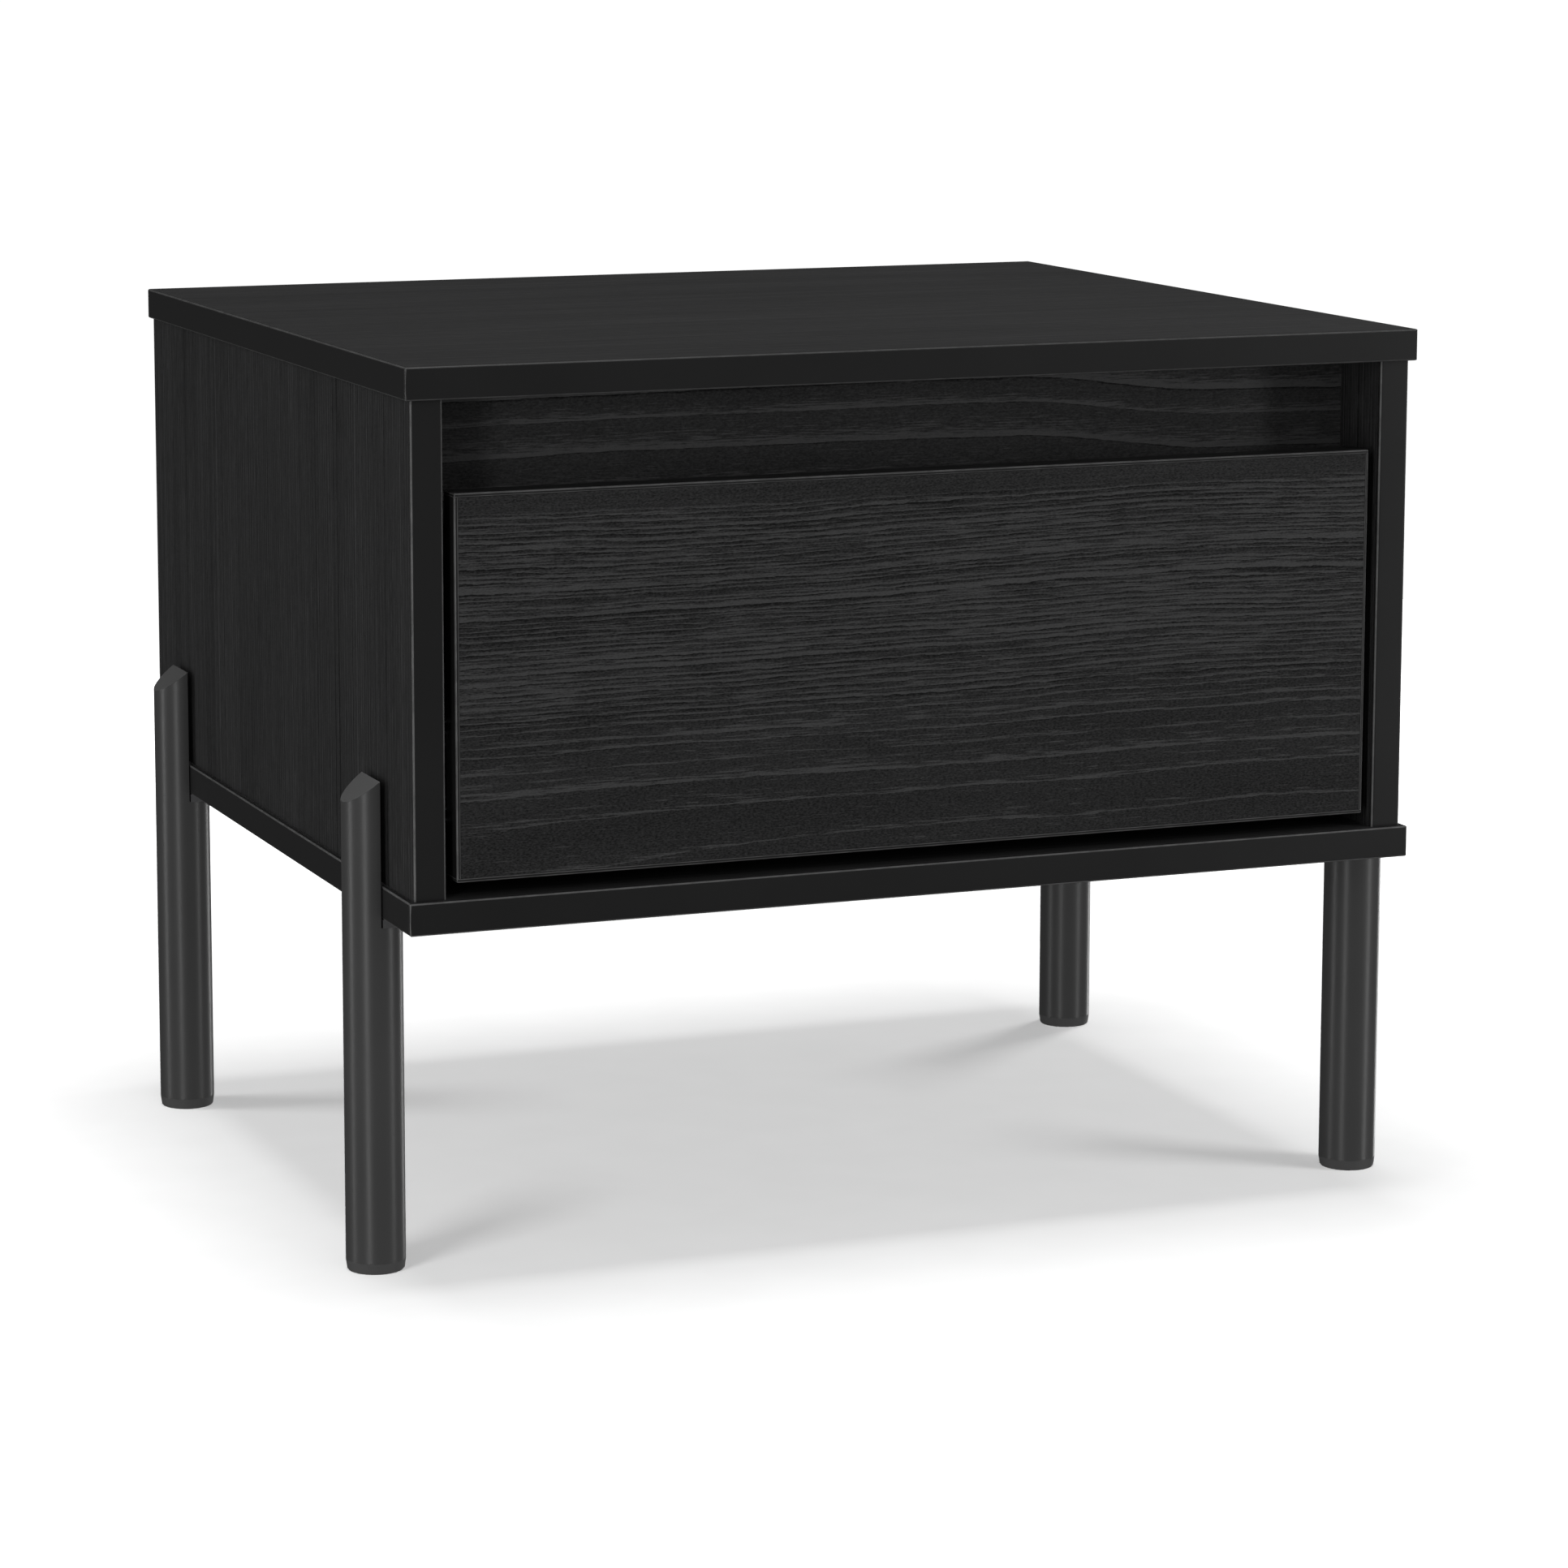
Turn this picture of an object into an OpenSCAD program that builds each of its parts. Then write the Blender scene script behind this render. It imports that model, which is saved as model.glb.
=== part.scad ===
// Nightstand with one drawer on ball-bearing runners, a finger slot above the drawer
// front, and four round legs notched round the edges of the bottom board.
// Millimetres. The origin is on the floor under the middle of the cabinet, +Z is up and
// the front faces -Y. The right-hand pieces are drawn first, and the left are mirrored.

/* [Cabinet] */
// Width of the top and bottom boards
body_w = 500; // [460:10:560]
// Depth of the top and bottom boards
body_d = 434; // [430:2:460]
// Height of the top's upper face
body_h = 418; // [400:2:450]
// Height of the bottom board's underside
leg_h = 165; // [150:5:180]
// Thickness of the boards
board_t = 15; // [15:1:16]
// Thickness of the glued edge strips
band_t = 2; // [1.5:0.5:2.5]
// Radius on the edge strips' outer corners
band_r = 1.3; // [0.8:0.1:1.4]
// How far the top and bottom stand out past the sides
overhang = 3; // [2:0.5:5]
// Thickness of the back panel and of the drawer bottom
thin_t = 3; // [2.5:0.1:3.2]

/* [Drawer] */
// Gap at each side of the drawer front
front_gap_side = 5; // [2:0.5:6]
// Gap under the drawer front
front_gap_low = 7; // [3:0.5:8]
// Height of the open finger slot above the drawer front
slot_h = 41.5; // [30:0.5:45]
// Depth from the sides' front edges to the rail behind the slot
rail_set_back = 38.5; // [36:0.5:40]
// Height of the rail behind the slot
rail_h = 60; // [56:1:64]
// Thickness of the drawer box's sides and back
box_t = 12; // [12:1:13]
// Clear height between the drawer box and the rail
box_gap = 12; // [8:1:20]

/* [Runners] */
// Length of each runner member, and so the drawer's travel
runner_len = 350; // [320:10:350]
// Height of the runners' middle line above the bottom board
runner_up = 55; // [55:1:60]

/* [Legs] */
// Diameter of the round legs
leg_d = 27.5; // [24:0.5:30]
// Distance from the middle of the depth to each leg's axis
leg_y = 162.5; // [140:2.5:175]
// Height of the legs' highest point, beside the cabinet
leg_top = 228; // [215:1:240]
// Slope of the legs' upper face, falling outwards
leg_slant = 37.5; // [20:0.5:45]
// Thickness of the plates under the bottom board
plate_t = 4; // [3:0.5:5]
// Height of the foot caps
foot_h = 5; // [3:0.5:8]

/* [Hidden] */

$fn = 48;
cut = 1;          // how far a cutting shape runs past a face
fit = 0.05;       // play round dowels, bolts and screws in their holes
seam = 0.05;      // glue line between neighbouring edge strips
arc_steps = 5;    // straight steps in a quarter of an edge strip's rounding

half_w = body_w / 2;
half_d = body_d / 2;
floor_top = leg_h + board_t;          // upper face of the bottom board
ceiling = body_h - board_t;           // underside of the top board
side_out = half_w - overhang;         // outer face of the side boards
side_in = side_out - board_t;         // inner face of the side boards
side_front = -half_d + overhang;      // front edge of the side boards
side_mid = side_in + board_t / 2;

groove_deep = 6;
groove_y = half_d - 15;               // front wall of the back panel's groove
groove_w = thin_t + 0.2;
panel_play = 0.5;                     // how far a thin panel stops short of its groove's floor

rail_y = side_front + rail_set_back;  // front face of the rail
rail_z = ceiling - rail_h;

// Cam fittings, the same bolt in every joint
bolt_reach = 24;                      // from the joint to the middle of the cam
bolt_thread = 10;                     // length of thread in the face board
cam_big_r = 7.5;
cam_big_h = 12.5;
cam_small_r = 6;
cam_small_h = 9.5;
cam_y = 148;                          // how far the cams are from the middle of the depth
dowel_y = 105;
dowel_r = 4;
dowel_thin_r = 3;
dowel_in_edge = 20;
dowel_in_face = 9.5;

// Drawer
front_w = 2 * (side_in - front_gap_side);
front_z0 = floor_top + front_gap_low;
front_z1 = ceiling - slot_h;
front_y = side_front + 0.5;           // front face of the drawer front
box_y0 = front_y + board_t;           // front end of the box sides
box_len = runner_len + 2;
box_y1 = box_y0 + box_len;
box_z0 = floor_top + 16;
box_z1 = rail_z - box_gap;
runner_z = floor_top + runner_up;
runner_t = 12.7;                      // space that a runner fills
box_out = side_in - runner_t;         // outer face of the box sides
box_in = box_out - box_t;
box_mid = box_in + box_t / 2;
bottom_z = box_z0 + 10;               // lower wall of the drawer bottom's groove
box_back_mid = box_y1 - box_t / 2;
drawer_cam_z = box_z1 - 40;
drawer_dowel_z = [runner_z - 15, box_z1 - 12];
back_screw_z = [box_z1 - 56, box_z1 - 18];

// Runner section. u runs from the cabinet side to the drawer side, v is up from runner_z
sheet = 1.2;
runner_y0 = box_y0 + 2;               // front end of every member when shut
outer_v = 22.8;
ball_r = 1.85;
ball_gap = 3.8;                       // space between two raceways
outer_flange_u = 9.6;
middle_v = outer_v - sheet - ball_gap;
middle_u = [2.5, 11];
inner_v = middle_v - sheet - ball_gap;
inner_u = [5.2, runner_t];
cage_len = 90;
cage_t = 0.6;
cage_balls = 5;
cage_pitch = cage_len / cage_balls;
cage_y0 = runner_y0 + runner_len / 2 - 40;
outer_cage_u = [1.5, 8.4];
inner_cage_u = [4, 10.8];
runner_screw_y = [30, runner_len / 2, runner_len - 40];  // from the members' front ends
screw_r = 2;
screw_head_r = 3.3;
cabinet_screw_len = 12;
drawer_screw_len = 9;

// Wood screws with larger heads, in the leg plates and the drawer's back
wood_head_r = 4;
back_head_r = 3.6;
wood_head_h = 2.2;
back_screw_len = 40;

// Legs
leg_r = leg_d / 2;
leg_wall = 1.5;
leg_x = half_w + 0.5;                 // axis, which is also the flat of the half round
shoulder = leg_h - plate_t;
plate_in = half_w - 60;
plate_w = leg_d + 1.5;
plate_corner = 5;
plate_screw_x = [half_w - 28, half_w - 49];
plate_screw_len = 15;

function arc(cx, cy, r, from) =
  [for (i = [0:arc_steps]) let (a = from + 90 * i / arc_steps) [cx + r * cos(a), cy + r * sin(a)]];

// A rectangle centred on the origin, with rounded corners
module round_rect(w, h, r)
  polygon(concat(arc(w / 2 - r, h / 2 - r, r, 0), arc(r - w / 2, h / 2 - r, r, 90),
                 arc(r - w / 2, r - h / 2, r, 180), arc(w / 2 - r, r - h / 2, r, 270)));

// A board lying on z = 0, rounded along every edge
module soft_board(w, d, t, r)
  intersection() {
    linear_extrude(t) round_rect(w, d, r);
    translate([0, 0, t / 2]) rotate([90, 0, 90]) linear_extrude(w, center = true) round_rect(d, t, r);
    translate([0, 0, t / 2]) rotate([90, 0, 0]) linear_extrude(d, center = true) round_rect(w, t, r);
  }

// The four strips glued round a board: the long two run past the ends of the others
module edge_strips(w, d, t)
  difference() {
    soft_board(w, d, t, band_r);
    translate([band_t - w / 2, band_t - d / 2, -cut]) cube([w - 2 * band_t, d - 2 * band_t, t + 2 * cut]);
    for (s = [-1, 1])
      translate([-w / 2, s * (d / 2 - band_t) - (s > 0 ? seam : 0), -cut]) cube([w, seam, t + 2 * cut]);
  }

// A block from its lowest corner to its highest
module block(low, high) translate(low) cube(high - low);

// Turns a piece built along +Z to point along +X, or back along +Y
module along_x() rotate([0, 90, 0]) children();
module along_back_y() rotate([-90, 0, 0]) children();

// Puts a right-hand piece on the left
module to_left() mirror([1, 0, 0]) children();
module both_sides() {
  children();
  to_left() children();
}

// ---- Fittings ------------------------------------------------------------------

// Cam bolt. z = 0 is the joint: the thread goes down into the face board, and the
// head stands up in the cam
module cam_bolt() {
  translate([0, 0, -bolt_thread]) cylinder(h = bolt_thread, r = 2.4);
  cylinder(h = bolt_reach - 3, r = 2.2);
  translate([0, 0, bolt_reach - 4]) cylinder(h = 4, r = 1.4);
  translate([0, 0, bolt_reach - 0.8]) cylinder(h = 3, r = 2.7);
}

// Hole for the thread in the face board
module thread_hole() translate([0, 0, -bolt_thread - 0.5]) cylinder(h = bolt_thread + 0.5 + cut, r = 2.4 + fit);

// Hole along the edge board, from the joint to the cam
module shank_hole() translate([0, 0, -cut]) cylinder(h = bolt_reach + cut, r = 3.2);

// Cam housing. z = 0 is its open face, and the bolt comes in from the -Y side at depth axis_deep
module cam_housing(r, h, axis_deep)
  difference() {
    translate([0, 0, fit - h]) cylinder(h = h - fit, r = r - fit);
    block([-3, -r - cut, -axis_deep - 3], [3, 3.2, 3 - axis_deep]);
    for (a = [45, 135]) rotate([0, 0, a]) block([-3, -0.6, -1.6], [3, 0.6, cut]);
  }
module cam_pocket(r, h) translate([0, 0, -h]) cylinder(h = h + cut, r = r);

// Dowel across a joint at z = 0, with its longer end up in the edge board
module dowel(r) translate([0, 0, -dowel_in_face]) cylinder(h = dowel_in_face + dowel_in_edge, r = r);
module dowel_hole(r)
  translate([0, 0, -dowel_in_face - 0.4])
    cylinder(h = dowel_in_face + dowel_in_edge + 0.8, r = r + fit);

// Countersunk screw. Its head is flush with z = 0 and it points along -Z
module flat_screw(len, head_r, head_h, grow = 0) {
  translate([0, 0, -head_h]) cylinder(h = head_h, r1 = screw_r + grow, r2 = head_r + grow);
  translate([0, 0, -len - grow]) cylinder(h = len + grow, r = screw_r + grow);
}
module cross_recess(size, deep)
  for (a = [0, 90]) rotate([0, 0, a]) block([-size / 2, -0.4, -deep], [size / 2, 0.4, cut]);

// ---- Where the cabinet's fittings sit (right-hand side) --------------------------

// Joints of the side board with the top (up = 1) and the bottom (up = -1)
module at_side_joint(y, up)
  translate([side_mid, y, up > 0 ? ceiling : floor_top]) rotate([up > 0 ? 180 : 0, 0, 0]) children();
module each_side_joint(ys)
  for (y = [-ys, ys], up = [-1, 1]) at_side_joint(y, up) children();

// Joints of the rail with the side board, pointing in along -X
rail_bolt_z = rail_z + 17;
rail_dowel_z = ceiling - 15;
rail_mid = rail_y + board_t / 2;
module at_rail_joint(z) translate([side_in, rail_mid, z]) rotate([0, -90, 0]) children();

// Middles of the cams, turned so that the bolt comes in along -Y
module each_side_cam()
  for (y = [-cam_y, cam_y], up = [-1, 1])
    translate([side_in, y, up > 0 ? ceiling - bolt_reach : floor_top + bolt_reach])
      rotate([0, -90, 0]) rotate([0, 0, up * 90]) children();
module at_rail_cam()
  translate([side_in - bolt_reach, rail_y + board_t, rail_bolt_z]) along_back_y() rotate([0, 0, 90]) children();

// ---- Cabinet ---------------------------------------------------------------------

module horizontal_core(z, holes_up) {
  difference() {
    block([band_t - half_w, band_t - half_d, z], [half_w - band_t, half_d - band_t, z + board_t]);
    both_sides() {
      for (y = [-cam_y, cam_y]) at_side_joint(y, holes_up) thread_hole();
      for (y = [-dowel_y, dowel_y]) at_side_joint(y, holes_up) dowel_hole(dowel_r);
    }
    children();
  }
}

module top_panel()
  color("#2b2b2d")
    horizontal_core(ceiling, 1)
      block([-side_in - groove_deep, groove_y, ceiling - cut],
            [side_in + groove_deep, groove_y + groove_w, ceiling + groove_deep]);

module top_edge_strips()
  color("#222223") translate([0, 0, ceiling]) edge_strips(body_w, body_d, board_t);

module bottom_panel()
  color("#2b2b2d")
    horizontal_core(leg_h, -1) {
      block([-side_in - groove_deep, groove_y, floor_top - groove_deep],
            [side_in + groove_deep, groove_y + groove_w, floor_top + cut]);
      both_sides() each_plate_screw() flat_screw(plate_screw_len, wood_head_r, wood_head_h, fit);
    }

module bottom_edge_strips()
  color("#222223") translate([0, 0, leg_h]) edge_strips(body_w, body_d, board_t);

module side_panel_right()
  color("#262628")
    difference() {
      block([side_in, side_front + band_t, floor_top], [side_out, half_d, ceiling]);
      block([side_in - cut, groove_y, floor_top - cut], [side_in + groove_deep, groove_y + groove_w, ceiling + cut]);
      each_side_joint(cam_y) shank_hole();
      each_side_joint(dowel_y) dowel_hole(dowel_r);
      each_side_cam() cam_pocket(cam_big_r, cam_big_h);
      at_rail_joint(rail_bolt_z) thread_hole();
      at_rail_joint(rail_dowel_z) dowel_hole(dowel_r);
      each_cabinet_screw() flat_screw(cabinet_screw_len, screw_head_r, sheet, fit);
    }
module side_panel_left() to_left() side_panel_right();

// Strip with rounded front corners on the front edge of a side board
module side_edge_strip_right()
  color("#222223")
    intersection() {
      translate([side_mid, side_front + board_t / 2, floor_top]) linear_extrude(ceiling - floor_top)
        round_rect(board_t, board_t, band_r);
      block([side_in, side_front, floor_top], [side_out, side_front + band_t, ceiling]);
    }
module side_edge_strip_left() to_left() side_edge_strip_right();

module recess_rail()
  color("#1e1e20")
    difference() {
      block([-side_in, rail_y, rail_z], [side_in, rail_y + board_t, ceiling]);
      both_sides() {
        at_rail_joint(rail_bolt_z) shank_hole();
        at_rail_joint(rail_dowel_z) dowel_hole(dowel_r);
        at_rail_cam() cam_pocket(cam_big_r, cam_big_h);
      }
    }

module back_panel() {
  reach = groove_deep - panel_play;
  color("#3a3634")
    block([-side_in - reach, groove_y + 0.1, floor_top - reach],
          [side_in + reach, groove_y + 0.1 + thin_t, ceiling + reach]);
}

module cabinet_cam_bolts()
  color("#9a9a9c")
    both_sides() {
      each_side_joint(cam_y) cam_bolt();
      at_rail_joint(rail_bolt_z) cam_bolt();
    }

module cabinet_cam_housings()
  color("#8d8d90")
    both_sides() {
      each_side_cam() cam_housing(cam_big_r, cam_big_h, board_t / 2);
      at_rail_cam() cam_housing(cam_big_r, cam_big_h, board_t / 2);
    }

module cabinet_dowels()
  color("#c9a878")
    both_sides() {
      each_side_joint(dowel_y) dowel(dowel_r);
      at_rail_joint(rail_dowel_z) dowel(dowel_r);
    }

// ---- Legs ------------------------------------------------------------------------

// Outline, looking along Y, of what stands above the shoulder: x is out from the flat.
// inset moves the flat and the sloping face inwards by a wall
module upper_outline(from_z, inset) {
  drop = tan(leg_slant);
  crest = leg_top - inset / cos(leg_slant);
  polygon([[inset, from_z], [leg_r + cut, from_z], [leg_r + cut, crest - drop * (leg_r + cut)],
           [inset, crest - drop * inset]]);
}
module upper_part(r, from_z, inset)
  intersection() {
    translate([0, 0, from_z]) cylinder(h = leg_top - from_z, r = r);
    rotate([90, 0, 0]) linear_extrude(2 * leg_d, center = true) upper_outline(from_z, inset);
  }

// Round tube, open below, closed by a shoulder, a flat and a sloping face
module leg()
  color("#5f6062")
    difference() {
      union() {
        translate([0, 0, foot_h]) cylinder(h = shoulder - foot_h, r = leg_r);
        upper_part(leg_r, shoulder, 0);
      }
      translate([0, 0, foot_h - cut])
        cylinder(h = shoulder - foot_h + cut - leg_wall, r = leg_r - leg_wall);
      upper_part(leg_r - leg_wall, shoulder - leg_wall, leg_wall);
    }

module foot_cap()
  color("#6b6c6e")
    rotate_extrude()
      polygon([[0, 0], [leg_r - 1, 0], [leg_r - 0.6, 0.5], [leg_r, foot_h - 0.4], [leg_r, foot_h],
               [leg_r - leg_wall - 0.1, foot_h], [leg_r - leg_wall - 0.1, foot_h + 9],
               [leg_r - leg_wall - 1, foot_h + 11], [0, foot_h + 11]]);

module leg_plate()
  color("#8a8b8d")
    difference() {
      union() {
        block([plate_in + plate_corner, -plate_w / 2, shoulder], [half_w, plate_w / 2, leg_h]);
        block([plate_in, plate_corner - plate_w / 2, shoulder], [half_w, plate_w / 2 - plate_corner, leg_h]);
        for (s = [-1, 1])
          translate([plate_in + plate_corner, s * (plate_w / 2 - plate_corner), shoulder])
            cylinder(h = plate_t, r = plate_corner);
      }
      for (x = plate_screw_x)
        translate([x, 0, shoulder]) mirror([0, 0, 1]) flat_screw(plate_screw_len, wood_head_r, wood_head_h, fit);
    }

// front is -1 for the front pair and 1 for the rear pair
module at_leg(front) translate([0, front * leg_y, 0]) children();
module leg_place(front) at_leg(front) translate([leg_x, 0, 0]) children();
module each_plate_screw()
  for (front = [-1, 1], x = plate_screw_x)
    translate([x, front * leg_y, shoulder]) mirror([0, 0, 1]) children();

module leg_front_right() leg_place(-1) leg();
module leg_front_left() to_left() leg_front_right();
module leg_rear_right() leg_place(1) leg();
module leg_rear_left() to_left() leg_rear_right();
module foot_cap_front_right() leg_place(-1) foot_cap();
module foot_cap_front_left() to_left() foot_cap_front_right();
module foot_cap_rear_right() leg_place(1) foot_cap();
module foot_cap_rear_left() to_left() foot_cap_rear_right();
module leg_plate_front_right() at_leg(-1) leg_plate();
module leg_plate_front_left() to_left() leg_plate_front_right();
module leg_plate_rear_right() at_leg(1) leg_plate();
module leg_plate_rear_left() to_left() leg_plate_rear_right();

module leg_plate_screws()
  color("#9a9a9c")
    both_sides() each_plate_screw()
      difference() {
        flat_screw(plate_screw_len, wood_head_r, wood_head_h);
        cross_recess(4, 1.4);
      }

// ---- Runners (right-hand side: u grows towards -X) ---------------------------------

// A channel of bent sheet, open towards the side that its web is not on
module channel(u, v, web_low)
  for (part = [0:2])
    if (part == 0) {
      web = web_low ? [u[0], u[0] + sheet] : [u[1] - sheet, u[1]];
      block([side_in - web[1], runner_y0, runner_z - v],
            [side_in - web[0], runner_y0 + runner_len, runner_z + v]);
    } else {
      low = part == 1 ? -v : v - sheet;
      block([side_in - u[1], runner_y0, runner_z + low],
            [side_in - u[0], runner_y0 + runner_len, runner_z + low + sheet]);
    }

// Screws through the cabinet member, heads towards the drawer
module each_cabinet_screw()
  for (y = runner_screw_y)
    translate([side_in - sheet, runner_y0 + y, runner_z]) rotate([0, -90, 0]) children();
// Screws through the drawer member, heads towards the cabinet
module each_drawer_screw()
  for (y = runner_screw_y)
    translate([box_out + sheet, runner_y0 + y, runner_z]) along_x() children();

module runner_cabinet_member_right()
  color("#a8aaac")
    difference() {
      channel([0, outer_flange_u], outer_v, true);
      each_cabinet_screw() flat_screw(cabinet_screw_len, screw_head_r, sheet, fit);
    }
module runner_cabinet_member_left() to_left() runner_cabinet_member_right();

module runner_middle_member_right() color("#b4b6b8") channel(middle_u, middle_v, true);
module runner_middle_member_left() to_left() runner_middle_member_right();

module runner_drawer_member_right()
  color("#a8aaac")
    difference() {
      channel(inner_u, inner_v, false);
      each_drawer_screw() flat_screw(drawer_screw_len, screw_head_r, sheet, fit);
    }
module runner_drawer_member_left() to_left() runner_drawer_member_right();

module screw_set(len) difference() {
  flat_screw(len, screw_head_r, sheet);
  cross_recess(3, 0.8);
}
module runner_cabinet_screws() color("#9a9a9c") both_sides() each_cabinet_screw() screw_set(cabinet_screw_len);
module runner_drawer_screws() color("#9a9a9c") both_sides() each_drawer_screw() screw_set(drawer_screw_len);

// Middles of a cage's balls, in rows above and below
module each_ball(u, v)
  for (s = [-1, 1], i = [0:cage_balls - 1])
    translate([side_in - u, cage_y0 + cage_pitch * (i + 0.5), runner_z + s * v]) children();

// A folded strip that keeps the balls of one pair of raceways apart
module cage(u, ball_u, ball_v)
  difference() {
    union() {
      block([side_in - u[0] - cage_t, cage_y0, runner_z - ball_v - cage_t / 2],
            [side_in - u[0], cage_y0 + cage_len, runner_z + ball_v + cage_t / 2]);
      for (s = [-1, 1])
        block([side_in - u[1], cage_y0, runner_z + s * ball_v - cage_t / 2],
              [side_in - u[0], cage_y0 + cage_len, runner_z + s * ball_v + cage_t / 2]);
    }
    each_ball(ball_u, ball_v) translate([0, 0, -cut]) cylinder(h = 2 * cut, r = ball_r + fit);
  }

outer_ball_u = 5.8;
outer_ball_v = middle_v + ball_gap / 2;
inner_ball_u = 8.2;
inner_ball_v = inner_v + ball_gap / 2;
module outer_ball_cage_right() color("#6e7073") cage(outer_cage_u, outer_ball_u, outer_ball_v);
module outer_ball_cage_left() to_left() outer_ball_cage_right();
module inner_ball_cage_right() color("#6e7073") cage(inner_cage_u, inner_ball_u, inner_ball_v);
module inner_ball_cage_left() to_left() inner_ball_cage_right();
module outer_balls_right() color("#d0d2d4") each_ball(outer_ball_u, outer_ball_v) sphere(r = ball_r);
module outer_balls_left() to_left() outer_balls_right();
module inner_balls_right() color("#d0d2d4") each_ball(inner_ball_u, inner_ball_v) sphere(r = ball_r);
module inner_balls_left() to_left() inner_balls_right();

// ---- Drawer ------------------------------------------------------------------------

// Joints of the box side with the drawer front, pointing back along +Y
module at_front_joint(z) translate([box_mid, box_y0, z]) along_back_y() children();
module at_drawer_cam()
  translate([box_out, box_y0 + bolt_reach, drawer_cam_z]) along_x() children();
module each_back_screw()
  for (z = back_screw_z) translate([box_out, box_back_mid, z]) along_x() children();

module drawer_front()
  color("#2d2d2f")
    difference() {
      block([band_t - front_w / 2, front_y, front_z0 + band_t],
            [front_w / 2 - band_t, front_y + board_t, front_z1 - band_t]);
      block([-box_in - groove_deep, box_y0 - groove_deep, bottom_z],
            [box_in + groove_deep, box_y0 + cut, bottom_z + groove_w]);
      both_sides() {
        at_front_joint(drawer_cam_z) thread_hole();
        for (z = drawer_dowel_z) at_front_joint(z) dowel_hole(dowel_thin_r);
      }
    }

module drawer_front_edge_strips()
  color("#222223")
    translate([0, front_y + board_t, (front_z0 + front_z1) / 2]) rotate([90, 0, 0])
      edge_strips(front_w, front_z1 - front_z0, board_t);

module drawer_side_right()
  color("#303032")
    difference() {
      block([box_in, box_y0, box_z0], [box_out, box_y1, box_z1]);
      block([box_in - cut, box_y0 - cut, bottom_z], [box_in + groove_deep, box_y1 - box_t / 2, bottom_z + groove_w]);
      at_front_joint(drawer_cam_z) shank_hole();
      for (z = drawer_dowel_z) at_front_joint(z) dowel_hole(dowel_thin_r);
      at_drawer_cam() cam_pocket(cam_small_r, cam_small_h);
      each_drawer_screw() flat_screw(drawer_screw_len, screw_head_r, sheet, fit);
      each_back_screw() flat_screw(back_screw_len, back_head_r, wood_head_h, fit);
    }
module drawer_side_left() to_left() drawer_side_right();

module drawer_back()
  color("#303032")
    difference() {
      block([-box_in, box_y1 - box_t, box_z0], [box_in, box_y1, box_z1]);
      block([-box_in - cut, box_y1 - box_t - cut, bottom_z],
            [box_in + cut, box_y1 - box_t + groove_deep, bottom_z + groove_w]);
      both_sides() each_back_screw() flat_screw(back_screw_len, back_head_r, wood_head_h, fit);
    }

module drawer_bottom() {
  reach = groove_deep - panel_play;
  color("#3a3634")
    block([-box_in - reach, box_y0 - reach, bottom_z + 0.1],
          [box_in + reach, box_y1 - box_t + reach, bottom_z + 0.1 + thin_t]);
}

module drawer_cam_bolts() color("#9a9a9c") both_sides() at_front_joint(drawer_cam_z) cam_bolt();
module drawer_cam_housings()
  color("#8d8d90")
    both_sides() at_drawer_cam() cam_housing(cam_small_r, cam_small_h, box_t / 2);
module drawer_dowels()
  color("#c9a878")
    both_sides() for (z = drawer_dowel_z) at_front_joint(z) dowel(dowel_thin_r);
module drawer_back_screws()
  color("#9a9a9c")
    both_sides() each_back_screw()
      difference() {
        flat_screw(back_screw_len, back_head_r, wood_head_h);
        cross_recess(4, 1.4);
      }

top_panel();
top_edge_strips();
bottom_panel();
bottom_edge_strips();
side_panel_left();
side_panel_right();
side_edge_strip_left();
side_edge_strip_right();
recess_rail();
back_panel();
cabinet_cam_bolts();
cabinet_cam_housings();
cabinet_dowels();
leg_front_left();
leg_front_right();
leg_rear_left();
leg_rear_right();
leg_plate_front_left();
leg_plate_front_right();
leg_plate_rear_left();
leg_plate_rear_right();
foot_cap_front_left();
foot_cap_front_right();
foot_cap_rear_left();
foot_cap_rear_right();
leg_plate_screws();
runner_cabinet_member_left();
runner_cabinet_member_right();
runner_cabinet_screws();
runner_middle_member_left();
runner_middle_member_right();
outer_ball_cage_left();
outer_ball_cage_right();
outer_balls_left();
outer_balls_right();
inner_ball_cage_left();
inner_ball_cage_right();
inner_balls_left();
inner_balls_right();
runner_drawer_member_left();
runner_drawer_member_right();
runner_drawer_screws();
drawer_front();
drawer_front_edge_strips();
drawer_side_left();
drawer_side_right();
drawer_back();
drawer_bottom();
drawer_cam_bolts();
drawer_cam_housings();
drawer_dowels();
drawer_back_screws();
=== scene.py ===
"""Looks for the nightstand: materials on every CAD node, a pale floor, studio light and the camera."""
import math

import bpy
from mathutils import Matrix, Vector


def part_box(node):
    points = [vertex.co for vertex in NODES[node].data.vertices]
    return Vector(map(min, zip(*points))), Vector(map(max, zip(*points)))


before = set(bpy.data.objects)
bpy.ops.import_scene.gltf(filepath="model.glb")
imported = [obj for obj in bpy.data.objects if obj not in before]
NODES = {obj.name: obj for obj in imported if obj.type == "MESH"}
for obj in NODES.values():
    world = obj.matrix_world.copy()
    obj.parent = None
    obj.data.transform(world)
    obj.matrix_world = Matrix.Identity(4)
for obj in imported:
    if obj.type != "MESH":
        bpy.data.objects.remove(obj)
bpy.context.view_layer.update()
MM = 0.001
CORNERS = ("front_left", "front_right", "rear_left", "rear_right")


# ---- Node helpers ------------------------------------------------------------------

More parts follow.
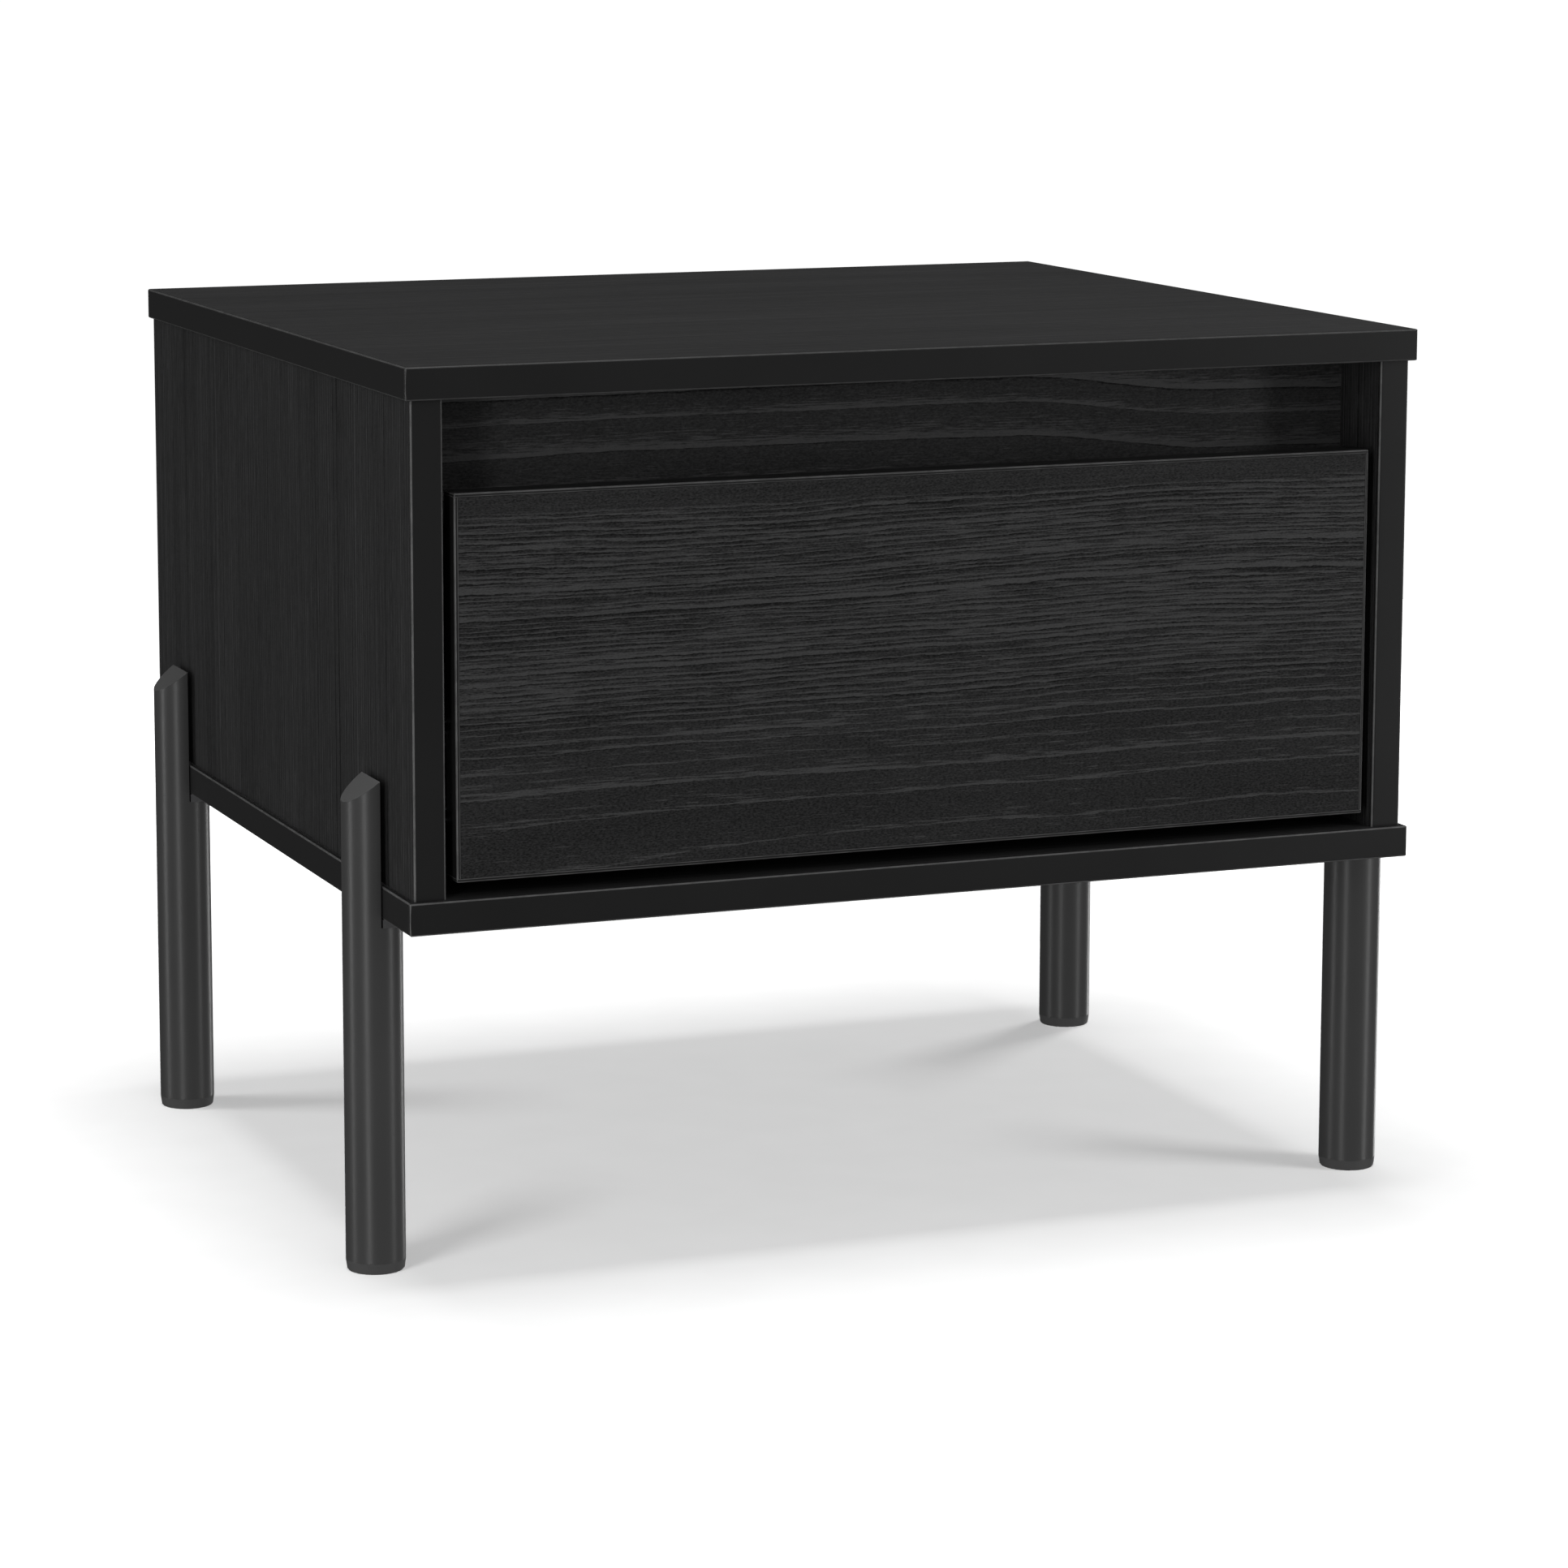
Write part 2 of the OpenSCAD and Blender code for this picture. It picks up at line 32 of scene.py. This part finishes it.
class Surface:
    """One material, and short calls to build its nodes. Lengths in the patterns are in millimetres."""

    def __init__(self, name, **shader):
        self.material = bpy.data.materials.new(name)
        self.material.use_nodes = True
        self.tree = self.material.node_tree
        self.shader = next(n for n in self.tree.nodes if n.type == "BSDF_PRINCIPLED")
        for socket, value in shader.items():
            self.shader.inputs[socket.replace("_", " ")].default_value = value
        self._place = None

    def node(self, kind, **settings):
        n = self.tree.nodes.new("ShaderNode" + kind)
        for key, value in settings.items():
            setattr(n, key, value)
        return n

    def feed(self, socket, value):
        if isinstance(value, bpy.types.NodeSocket):
            self.tree.links.new(value, socket)
        else:
            socket.default_value = value

    def math(self, operation, *values):
        n = self.node("Math", operation=operation)
        for socket, value in zip(n.inputs, values):
            self.feed(socket, value)
        return n.outputs[0]

    def add(self, a, b):
        return self.math("ADD", a, b)

    def sub(self, a, b):
        return self.math("SUBTRACT", a, b)

    def mul(self, a, b):
        return self.math("MULTIPLY", a, b)

    def fade(self, value, start, end, low=0.0, high=1.0):
        """low up to where value reaches start, then a smooth climb to high at end."""
        n = self.node("MapRange", interpolation_type="SMOOTHSTEP")
        for socket, v in zip(n.inputs, (value, start, end, low, high)):
            self.feed(socket, v)
        return n.outputs[0]

    def place(self):
        """The point's x, y and z on the part at rest, in millimetres."""
        if self._place is None:
            n = self.node("SeparateXYZ")
            self.feed(n.inputs[0], self.node("TexCoord").outputs["Object"])
            self._place = [self.mul(o, 1 / MM) for o in n.outputs]
        return self._place

    def noise(self, u, v, w, size, detail=2.0, rough=0.5):
        """Noise about zero, whose lumps are size[0] x size[1] x size[2] mm."""
        c = self.node("CombineXYZ")
        for socket, value, s in zip(c.inputs, (u, v, w), size):
            self.feed(socket, self.mul(value, 1 / s))
        n = self.node("TexNoise")
        self.feed(n.inputs["Vector"], c.outputs[0])
        n.inputs["Scale"].default_value = 1.0
        n.inputs["Detail"].default_value = detail
        n.inputs["Roughness"].default_value = rough
        return self.sub(n.outputs[0], 0.5)

    def speckle(self, size, detail=2.0, rough=0.5):
        return self.noise(*self.place(), size=(size,) * 3, detail=detail, rough=rough)

    def edge(self):
        """1 in the middle of a rounded edge and 0 on a flat face, from the object's own normal."""
        n = self.node("SeparateXYZ")
        self.feed(n.inputs[0], self.node("TexCoord").outputs["Normal"])
        x, y, z = (self.math("ABSOLUTE", o) for o in n.outputs)
        return self.fade(self.math("MAXIMUM", self.math("MAXIMUM", x, y), z), 0.96, 0.86)

    def mix(self, share, low, high):
        n = self.node("Mix", data_type="RGBA")
        n.clamp_factor = True
        self.feed(n.inputs[0], share)
        for socket, value in ((n.inputs[6], low), (n.inputs[7], high)):
            self.feed(socket, value if isinstance(value, bpy.types.NodeSocket) else (*value, 1))
        return n.outputs[2]

    def color(self, socket):
        self.feed(self.shader.inputs["Base Color"], socket)

    def roughness(self, socket):
        self.feed(self.shader.inputs["Roughness"], socket)

    def bump(self, height, depth, strength):
        """height runs over about 0 to 1, and depth is how tall that is in millimetres."""
        n = self.node("Bump")
        n.inputs["Strength"].default_value = strength
        n.inputs["Distance"].default_value = depth * MM
        self.feed(n.inputs["Height"], height)
        self.feed(self.shader.inputs["Normal"], n.outputs[0])

    def on(self, *nodes):
        for name in nodes:
            mesh = NODES[name].data
            mesh.materials.clear()
            mesh.materials.append(self.material)


# ---- Grained laminate --------------------------------------------------------------

DARK = (0.012, 0.012, 0.0121)
LIGHT = (0.1, 0.1, 0.101)
SHEEN = 0.08

# lumps along the grain and across it, in mm
WAVE, WAVE_HEIGHT = (210, 70, 70), 11
RIPPLE, RIPPLE_HEIGHT = (42, 10, 10), 2.4
RAG, RAG_HEIGHT = (7, 1.6, 1.6), 1.5
FIBRE_WIDTH = 0.65
FLECK = (1.4, 0.6, 0.6)
BREAK = (60, 4, 4)
CLOUD = (190, 24, 24)

EDGE_LEAN = 0.6                       # how far the rings climb for each mm behind the face
LEAST_LEAN = 0.2                      # keeps the rings' width finite where they lie flat
RING_SEED = 7.31                      # spreads the rings' numbers over the noise
CORE_BLEND = 90                       # mm2, softens the step to the core's wider rings
RIDGE_REACH = 2.8                     # mm, the longest fade of a pale ridge
PORE_REACH = 0.75                     # mm, the fade of the dark line before it
FIBRE_GAIN, CORE_FIBRE_GAIN = 1.5, 2.4
NEAR_CORE, FAR_CORE = (-8, 12), (-14, 26)   # mm inside and outside the core's edge, where its looks fade


def laminate(name, along, across, heart, depth, swing, spacing, dark=DARK, light=LIGHT, core=None,
             bend=None, calm=None, face=0.0, shift=0.0, still=1.0, bands=0.25, streaks=0.4, lines=0.3,
             cover=0.0, speck=1.0, fibre=14, ground=0.37):
    """Printed wood grain, cut across the rings of a log that lies almost along the board.

    along and across name the axes. heart is (along, across), in mm, of the place where the log's middle is
    nearest, depth how far below the face it lies, and swing how fast it drops away along the board. spacing
    is the rings' width, and core = (radius, width) a core of wider rings. bend is (start, end, height) of a
    step in the rings along the board, calm = (start, end) fades them out across it, and still scales their
    waviness. face is where the seen face lies on the third axis: the rings lean with the distance from it,
    so the edges show them too. shift moves the pattern's noise, so that no two boards are alike.

    bands, streaks, lines and speck are the strength of the cloudy bands, pale streaks, dark lines and fine
    flecks. cover adds streaks, outside the core where there is one. fibre is the length of the fine lines,
    in mm, and ground the tone between them, from dark at 0 to light at 1.
    """
    s = Surface(name, Specular_IOR_Level=SHEEN)
    axes = dict(zip("xyz", s.place()))
    at, v = axes[along], axes[across]
    w = next(axes[a] for a in "xyz" if a not in (along, across))
    u = s.add(at, shift)

    wave = s.mul(s.noise(u, v, w, WAVE, 1.0), WAVE_HEIGHT * still)
    ripple = s.mul(s.noise(u, v, w, RIPPLE, 2.0), RIPPLE_HEIGHT * still)
    rag = s.mul(s.noise(u, v, w, RAG, 2.0, 0.6), RAG_HEIGHT * still)
    height = s.add(s.sub(v, heart[1]), s.add(wave, s.add(ripple, rag)))
    height = s.add(height, s.mul(s.sub(w, face), EDGE_LEAN))
    if bend:
        height = s.add(height, s.fade(at, *bend[:2], 0.0, bend[2]))
    run = s.mul(s.sub(at, heart[0]), swing)
    deep = s.add(s.mul(run, run), depth * depth)
    radius = s.math("SQRT", s.add(s.mul(height, height), deep))
    lean = s.math("MAXIMUM", s.math("DIVIDE", s.math("ABSOLUTE", height), radius), LEAST_LEAN)

    uneven = s.mul(s.noise(radius, 0.0, 0.0, (spacing * 2.6, 1, 1), 2.0), 2.8)
    rings, width = s.mul(radius, 1 / spacing), spacing
    if core:
        past = s.sub(radius, core[0])
        outside = s.mul(s.add(past, s.math("SQRT", s.add(s.mul(past, past), CORE_BLEND))), 0.5)
        rings = s.add(s.mul(radius, 1 / core[1]), s.mul(outside, 1 / spacing - 1 / core[1]))
        uneven = s.mul(uneven, s.fade(radius, core[0] - 6, core[0] + 12, 0.55, 1.0))
        near, far = ([core[0] + d for d in edge] for edge in (NEAR_CORE, FAR_CORE))
        width = s.fade(radius, *near, core[1], spacing)
    count = s.add(rings, uneven)
    part, number = s.math("FRACT", count), s.math("FLOOR", count)
    face_width = s.math("DIVIDE", width, lean)
    above = s.mul(part, face_width)                           # mm past the last line
    below = s.mul(s.sub(1.0, part), face_width)               # mm to the next one

    fibres = s.noise(u, v, w, (fibre, FIBRE_WIDTH, FIBRE_WIDTH), 3.0, 0.6)
    flecks = s.noise(u, v, w, FLECK, 2.0, 0.6)
    broken = s.noise(u, v, w, BREAK, 3.0, 0.6)
    cloud = s.noise(u, v, w, CLOUD, 2.0)
    each = s.noise(s.mul(number, RING_SEED), 0.0, 0.0, (1.7, 1, 1), 0.0)
    reach = s.math("MINIMUM", s.mul(face_width, 0.3), RIDGE_REACH)
    ridge = s.math("EXPONENT", s.mul(s.math("DIVIDE", above, reach), -1.0))
    ridge = s.mul(ridge, s.fade(s.add(broken, s.mul(each, 1.2)), -0.35, 0.12, 0.45, 1.05))
    pore = s.math("EXPONENT", s.mul(below, -1 / PORE_REACH))
    pore = s.mul(pore, s.fade(s.sub(broken, each), -0.2, 0.25, 0.5, 1.0))
    gain = FIBRE_GAIN
    if core:
        pore = s.mul(pore, s.fade(radius, *near, 0.6, 1.0))
        cover = s.fade(radius, *far, 0.02, cover)
        gain = s.fade(radius, *far, CORE_FIBRE_GAIN, gain)
    streak = s.add(s.mul(ridge, 0.82), s.add(s.mul(fibres, gain), s.add(s.mul(cloud, 0.25), cover)))
    streak = s.fade(streak, 0.28, 0.58)
    pit = s.fade(s.add(pore, s.mul(fibres, -1.3)), 0.25, 0.65)
    if calm:
        quiet = s.fade(v, *calm, 1.0, 0.12)
        streak, pit = s.mul(streak, quiet), s.mul(pit, quiet)

    tone = s.add(ground, s.sub(s.mul(streak, streaks), s.mul(pit, lines)))
    tone = s.add(tone, s.add(s.mul(flecks, speck), s.mul(s.add(cloud, s.mul(broken, 0.3)), bands)))
    s.color(s.mix(tone, dark, light))
    s.roughness(s.add(0.58, s.add(s.mul(streak, -0.06), s.mul(flecks, 0.1))))
    s.bump(tone, 0.06, 0.6)
    return s


front_low, front_high = (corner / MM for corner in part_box("drawer_front"))
rail_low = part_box("recess_rail")[0] / MM
top_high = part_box("top_panel")[1] / MM

laminate("drawer_front_grain", "x", "z", heart=(150, front_low.z - 27), depth=70, swing=0.07, spacing=2.3,
         core=(112, 9.0), calm=(front_high.z - 11, front_high.z - 7), face=front_low.y, cover=0.2,
         streaks=0.61, lines=0.28, speck=1.3, fibre=20, ground=0.305).on("drawer_front")
# The rail's light tone sits above LIGHT as painted light, lifting the rail out of the shade of the recess
# under the top board.
laminate("rail_grain", "x", "z", heart=(-60, rail_low.z - 30), depth=80, swing=0.05, spacing=9.0,
         light=(0.114, 0.114, 0.115), bend=(60, 170, 10), face=rail_low.y, shift=900, still=0.6, cover=0.15,
         streaks=0.6).on("recess_rail")
for name, node, heart, shift in (("top_grain", "top_panel", (-200, -420), 2000),
                                 ("bottom_grain", "bottom_panel", (200, -480), 3100)):
    laminate(name, "x", "y", heart=heart, depth=60, swing=0.06, spacing=5.0, face=top_high.z, shift=shift,
             still=0.8, streaks=0.17, lines=0.13, bands=0.2, speck=0.25).on(node)
for name, node, heart, shift in (("side_left_grain", "side_panel_left", -900, 4300),
                                 ("side_right_grain", "side_panel_right", -1300, 5700)):
    laminate(name, "z", "y", heart=(290, heart), depth=40, swing=0.02, spacing=2.3, shift=shift, still=0.3,
             streaks=0.4, lines=0.3, bands=0.22, speck=0.4).on(node)


# ---- Plain materials ---------------------------------------------------------------

def plain(name, dark, light, rough, grit=0.35, depth=0.012, edge_highlight=None, **shader):
    """Moulded or painted surface: faint clouding, a fine skin, and rounded edges painted in a lighter
    colour as a highlight, and made smoother there.
    """
    s = Surface(name, **shader)
    cloud = s.speckle(60, 3.0)
    skin = s.speckle(grit, 2.0, 0.6)
    tone = s.add(0.5, s.add(s.mul(cloud, 0.6), s.mul(skin, 0.5)))
    rough = s.add(rough, s.add(s.mul(cloud, 0.08), s.mul(skin, 0.08)))
    color = s.mix(tone, dark, light)
    if edge_highlight:
        # Painted highlight: the middle of each rounded edge takes the given lighter colour in place of the
        # lamps' reflections on it; the edges are also made smoother.
        highlight_mask = s.mul(s.edge(), s.fade(s.speckle(9, 3.0, 0.6), -0.25, 0.2, 0.55, 1.0))
        color = s.mix(highlight_mask, color, edge_highlight)
        rough = s.sub(rough, s.mul(highlight_mask, 0.2))
    s.color(color)
    s.roughness(rough)
    s.bump(skin, depth, 0.6)
    return s


def metal(name, tint, rough, streak=None, depth=0.006, variation=0.18):
    """Metal with cloudy tone, and brushed or drawn streaks when streak gives their size in mm."""
    s = Surface(name, Metallic=1.0)
    cloud = s.speckle(28, 3.0, 0.6)
    lines = s.noise(*s.place(), size=streak, detail=3.0, rough=0.65) if streak else s.speckle(0.9, 2.0)
    smear = s.speckle(5, 2.0)
    tone = s.add(0.5, s.add(s.mul(cloud, variation * 3), s.mul(lines, variation * 2)))
    s.color(s.mix(tone, tuple(c * 0.75 for c in tint), tuple(c * 1.25 for c in tint)))
    s.roughness(s.add(rough, s.add(s.mul(lines, 0.12), s.mul(smear, 0.1))))
    s.bump(lines, depth, 0.5)
    return s


TOP_STRIPS = ("top_edge_strips",)
OTHER_STRIPS = ("bottom_edge_strips", "side_edge_strip_left", "side_edge_strip_right",
                "drawer_front_edge_strips")
# One edge strip in two materials: the top strips get a fainter painted highlight on their rounded edges
# than the other strips.
for name, edge_highlight, nodes in (("top_strip_plain", 0.12, TOP_STRIPS), ("edge_strip_plain", 0.21, OTHER_STRIPS)):
    plain(name, (0.015, 0.015, 0.0152), (0.024, 0.024, 0.0242), 0.4, edge_highlight=(edge_highlight,) * 3,
          Specular_IOR_Level=0.3).on(*nodes)
plain("foot_moulding", (0.09, 0.09, 0.09), (0.125, 0.125, 0.125), 0.62, grit=0.5, depth=0.02).on(
    *["foot_cap_" + corner for corner in CORNERS])
plain("leg_satin", (0.07, 0.07, 0.07), (0.095, 0.095, 0.095), 0.33, grit=0.25, depth=0.0012,
      Specular_IOR_Level=0.5).on(*["leg_" + corner for corner in CORNERS])
metal("plate_zinc", (0.22, 0.22, 0.225), 0.42, variation=0.15).on(
    *["leg_plate_" + corner for corner in CORNERS])
metal("runner_zinc", (0.64, 0.65, 0.68), 0.5, streak=(0.8, 60, 0.8), variation=0.12).on(
    *[n for n in NODES if n.startswith("runner_") and not n.endswith("screws")])
metal("cage_pressed", (0.36, 0.37, 0.39), 0.45, streak=(0.6, 30, 0.6)).on(
    *[n for n in NODES if "ball_cage" in n])
metal("ball_polished", (0.75, 0.76, 0.78), 0.12, depth=0.001, variation=0.05).on(
    *[n for n in NODES if n.endswith(("balls_left", "balls_right"))])
metal("screw_zinc", (0.55, 0.55, 0.57), 0.4).on(*[n for n in NODES if n.endswith(("screws", "cam_bolts"))])
metal("cam_cast", (0.38, 0.38, 0.39), 0.5, depth=0.03).on(*[n for n in NODES if n.endswith("cam_housings")])


def drawer_foil(name, along, across, shift):
    """Plain foil on the drawer box, with a calm grain."""
    return laminate(name, along, across, heart=(0, -600), depth=40, swing=0.03, spacing=6.0,
                    dark=(0.02, 0.02, 0.021), light=(0.05, 0.05, 0.052), shift=shift, still=0.5,
                    streaks=0.25, lines=0.15)


drawer_foil("drawer_side_foil", "y", "z", 700).on("drawer_side_left", "drawer_side_right")
drawer_foil("drawer_back_foil", "x", "z", 1900).on("drawer_back")


def hardboard(name):
    """Thin painted fibre board: soft mottling and pressed fibres in every direction."""
    s = Surface(name, Specular_IOR_Level=0.3)
    x, y, z = s.place()
    fibres = s.add(s.noise(x, y, z, (6, 0.7, 6), 3.0, 0.7), s.noise(x, y, z, (0.7, 6, 0.7), 3.0, 0.7))
    mottle = s.speckle(22, 4.0, 0.6)
    tone = s.add(0.5, s.add(s.mul(fibres, 0.9), s.mul(mottle, 0.45)))
    s.color(s.mix(tone, (0.026, 0.026, 0.0262), (0.056, 0.056, 0.0563)))
    s.roughness(s.add(0.62, s.mul(fibres, 0.15)))
    s.bump(fibres, 0.05, 0.5)
    return s


hardboard("thin_board_paint").on("back_panel", "drawer_bottom")


def beech(name):
    """Raw dowel wood with fine pores."""
    s = Surface(name, Specular_IOR_Level=0.3)
    pores = s.speckle(1.2, 3.0, 0.6)
    s.color(s.mix(s.add(0.5, s.mul(pores, 1.4)), (0.42, 0.27, 0.15), (0.68, 0.49, 0.31)))
    s.roughness(s.add(0.6, s.mul(pores, 0.2)))
    s.bump(pores, 0.05, 0.5)
    return s


beech("dowel_beech").on("cabinet_dowels", "drawer_dowels")


# ---- Smoother edges on the CAD meshes ------------------------------------------------

WELD = 0.02                           # mm
LEG_BEVEL, LEG_BEVEL_STEPS = 0.45, 3


def weld(obj):
    m = obj.modifiers.new("Weld", "WELD")
    m.merge_threshold = WELD * MM


def shade_smooth(obj):
    """Drops the stored shading normals, so that the modifiers' own ones show. No vertex moves."""
    if obj.data.has_custom_normals:
        obj.data.attributes.remove(obj.data.attributes["custom_normal"])
    obj.data.polygons.foreach_set("use_smooth", [True] * len(obj.data.polygons))


def smooth(obj):
    """Even shading over faceted roundings, with the flat faces kept flat."""
    shade_smooth(obj)
    weld(obj)
    m = obj.modifiers.new("Weighted", "WEIGHTED_NORMAL")
    m.mode = "FACE_AREA"
    m.weight = 100
    m.keep_sharp = True


for name in TOP_STRIPS + OTHER_STRIPS:
    smooth(NODES[name])


def bevel(obj, width, segments):
    """Rounds the sharp edges by width mm."""
    shade_smooth(obj)
    weld(obj)
    m = obj.modifiers.new("Bevel", "BEVEL")
    m.width = width * MM
    m.segments = segments
    m.limit_method = "ANGLE"
    m.angle_limit = math.radians(40)
    m.harden_normals = True
    m.use_clamp_overlap = True


for corner in CORNERS:
    bevel(NODES["leg_" + corner], LEG_BEVEL, LEG_BEVEL_STEPS)


# ---- Floor, light and camera ---------------------------------------------------------

BACKDROP = 1.05                       # what the camera sees behind the furniture
ROOM_FRONT, ROOM_BEHIND = 0.17, 0.05  # what the furniture reflects
LIGHT_AIM = 0.25                      # m, the height that every box points at
FOOT_BOXES = {"rear_left": -111, "front_left": -55, "front_right": 53, "rear_right": 121}   # azimuths
FLOOR_HALF = 1.5                      # m
GLOW_FROM, GLOW_TO = 500, 1100        # mm from the middle, between which the floor grows to white
GLOW_UNDER, GLOW_OUT = 0.05, 1.05


def pale_floor():
    """A sweep that only takes shadows: it sends nothing back to the furniture."""
    half = FLOOR_HALF
    corners = [(-half, -half, 0), (half, -half, 0), (half, half, 0), (-half, half, 0)]
    mesh = bpy.data.meshes.new("floor")
    mesh.from_pydata(corners, [], [(0, 1, 2, 3)])
    obj = bpy.data.objects.new("floor", mesh)
    bpy.context.scene.collection.objects.link(obj)
    s = Surface("floor_pale", Specular_IOR_Level=0.0, Emission_Color=(1, 1, 1, 1))
    x, y = s.place()[:2]
    out = s.math("SQRT", s.add(s.mul(x, x), s.mul(y, y)))
    s.feed(s.shader.inputs["Emission Strength"], s.fade(out, GLOW_FROM, GLOW_TO, GLOW_UNDER, GLOW_OUT))
    s.color(s.mix(s.add(0.5, s.speckle(40)), (0.8, 0.8, 0.8), (0.84, 0.84, 0.84)))
    mesh.materials.append(s.material)
    obj.visible_diffuse = False
    obj.visible_glossy = False
    obj.visible_shadow = False
    return obj


def direction(azimuth, elevation):
    """Unit vector away from the furniture. azimuth runs from the front towards +X, as seen from above."""
    az, el = math.radians(azimuth), math.radians(elevation)
    return Vector((math.sin(az) * math.cos(el), -math.cos(az) * math.cos(el), math.sin(el)))


def softbox(name, azimuth, elevation, distance, width, height, power, lights, shadows=None):
    """A lamp of width x height metres that lights the collection lights, with its power in watts. Only the
    collection shadows blocks it, or everything if that is None."""
    away = direction(azimuth, elevation)
    light = bpy.data.lights.new(name, "AREA")
    light.shape = "RECTANGLE"
    light.size, light.size_y = width, height
    light.energy = power
    obj = bpy.data.objects.new(name, light)
    obj.location = Vector((0, 0, LIGHT_AIM)) + away * distance
    obj.rotation_euler = away.to_track_quat("Z", "Y").to_euler()
    obj.light_linking.receiver_collection = lights
    obj.light_linking.blocker_collection = shadows
    bpy.context.scene.collection.objects.link(obj)


def linked(name, state, *objects):
    """A collection for light linking, which INCLUDEs or EXCLUDEs the objects."""
    collection = bpy.data.collections.new(name)
    for obj in objects:
        collection.objects.link(obj)
    for entry in collection.collection_objects:
        entry.light_linking.link_state = state
    return collection


def room():
    """White where the camera looks past the furniture, and dim to the furniture, most of all behind it."""
    world = bpy.data.worlds.new("studio")
    bpy.context.scene.world = world
    world.use_nodes = True
    t = world.node_tree
    back = next(n for n in t.nodes if n.type == "BACKGROUND")
    back.inputs["Color"].default_value = (1, 1, 1, 1)
    path = t.nodes.new("ShaderNodeLightPath")
    level = t.nodes.new("ShaderNodeMapRange")
    t.links.new(path.outputs["Is Camera Ray"], level.inputs["Value"])
    level.inputs["To Max"].default_value = BACKDROP
    where = t.nodes.new("ShaderNodeSeparateXYZ")
    t.links.new(t.nodes.new("ShaderNodeTexCoord").outputs["Generated"], where.inputs[0])
    dim = t.nodes.new("ShaderNodeMapRange")
    for socket, value in zip(dim.inputs, (where.outputs["Y"], -0.1, 0.7, ROOM_FRONT, ROOM_BEHIND)):
        if socket.name == "Value":
            t.links.new(value, socket)
        else:
            socket.default_value = value
    t.links.new(dim.outputs[0], level.inputs["To Min"])
    t.links.new(level.outputs[0], back.inputs["Strength"])


def studio(floor):
    """Some boxes light only the floor, and the others only the furniture."""
    only_floor = linked("only_floor", "INCLUDE", floor)
    not_floor = linked("not_floor", "EXCLUDE", floor)
    behind = linked("behind", "EXCLUDE", floor, NODES["top_panel"], NODES["top_edge_strips"],
                    NODES["bottom_edge_strips"])
    softbox("floor_box", 0, 90, 3.2, 1.25, 1.25, 68, only_floor)
    for corner, azimuth in FOOT_BOXES.items():
        leg = linked("shadow_" + corner, "INCLUDE", NODES["leg_" + corner], NODES["foot_cap_" + corner])
        softbox("foot_box_" + corner, azimuth, 49, 2.2, 0.42, 0.5, 12, only_floor, shadows=leg)
    softbox("top_box", 0, 90, 3.2, 0.8, 0.8, 34, not_floor)
    softbox("left_box", -100, 5, 3.0, 0.4, 2.6, 13, not_floor)
    softbox("front_left_box", -43, 5, 1.9, 0.26, 2.2, 6.8, not_floor)
    softbox("front_right_box", 48, 8, 1.65, 0.24, 2.0, 5.5, not_floor)
    softbox("rim_box", 119, 5, 2.4, 0.5, 2.4, 14, not_floor)
    softbox("back_box", 180, 32, 2.6, 1.2, 0.7, 12, behind)


CAMERA_AZIMUTH, CAMERA_ELEVATION = -21.27, 8.775
CAMERA_DISTANCE = 2.4517              # m
AIM_HEIGHT, AIM_LEFT = 0.25863, 0.02184   # m
SENSOR, LENS = 36, 113.05             # mm
SHIFT = (0.0473, -0.0999)


def photo_camera():
    """The photo's viewpoint: the axis passes AIM_HEIGHT above the floor and AIM_LEFT of the middle."""
    back = direction(CAMERA_AZIMUTH, CAMERA_ELEVATION)
    az = math.radians(CAMERA_AZIMUTH)
    right = Vector((math.cos(az), math.sin(az), 0))
    up = back.cross(right)
    cam = bpy.data.cameras.new("camera")
    cam.sensor_width = SENSOR
    cam.lens = LENS
    cam.shift_x, cam.shift_y = SHIFT
    cam.clip_start, cam.clip_end = 0.05, 100
    obj = bpy.data.objects.new("camera", cam)
    obj.location = Vector((0, 0, AIM_HEIGHT)) - right * AIM_LEFT + back * CAMERA_DISTANCE
    m = obj.matrix_world.to_3x3()
    m.col[0], m.col[1], m.col[2] = right, up, back
    obj.rotation_euler = m.to_euler()
    bpy.context.scene.collection.objects.link(obj)
    bpy.context.scene.camera = obj


room()
studio(pale_floor())
photo_camera()
bpy.context.scene.view_settings.view_transform = "Standard"
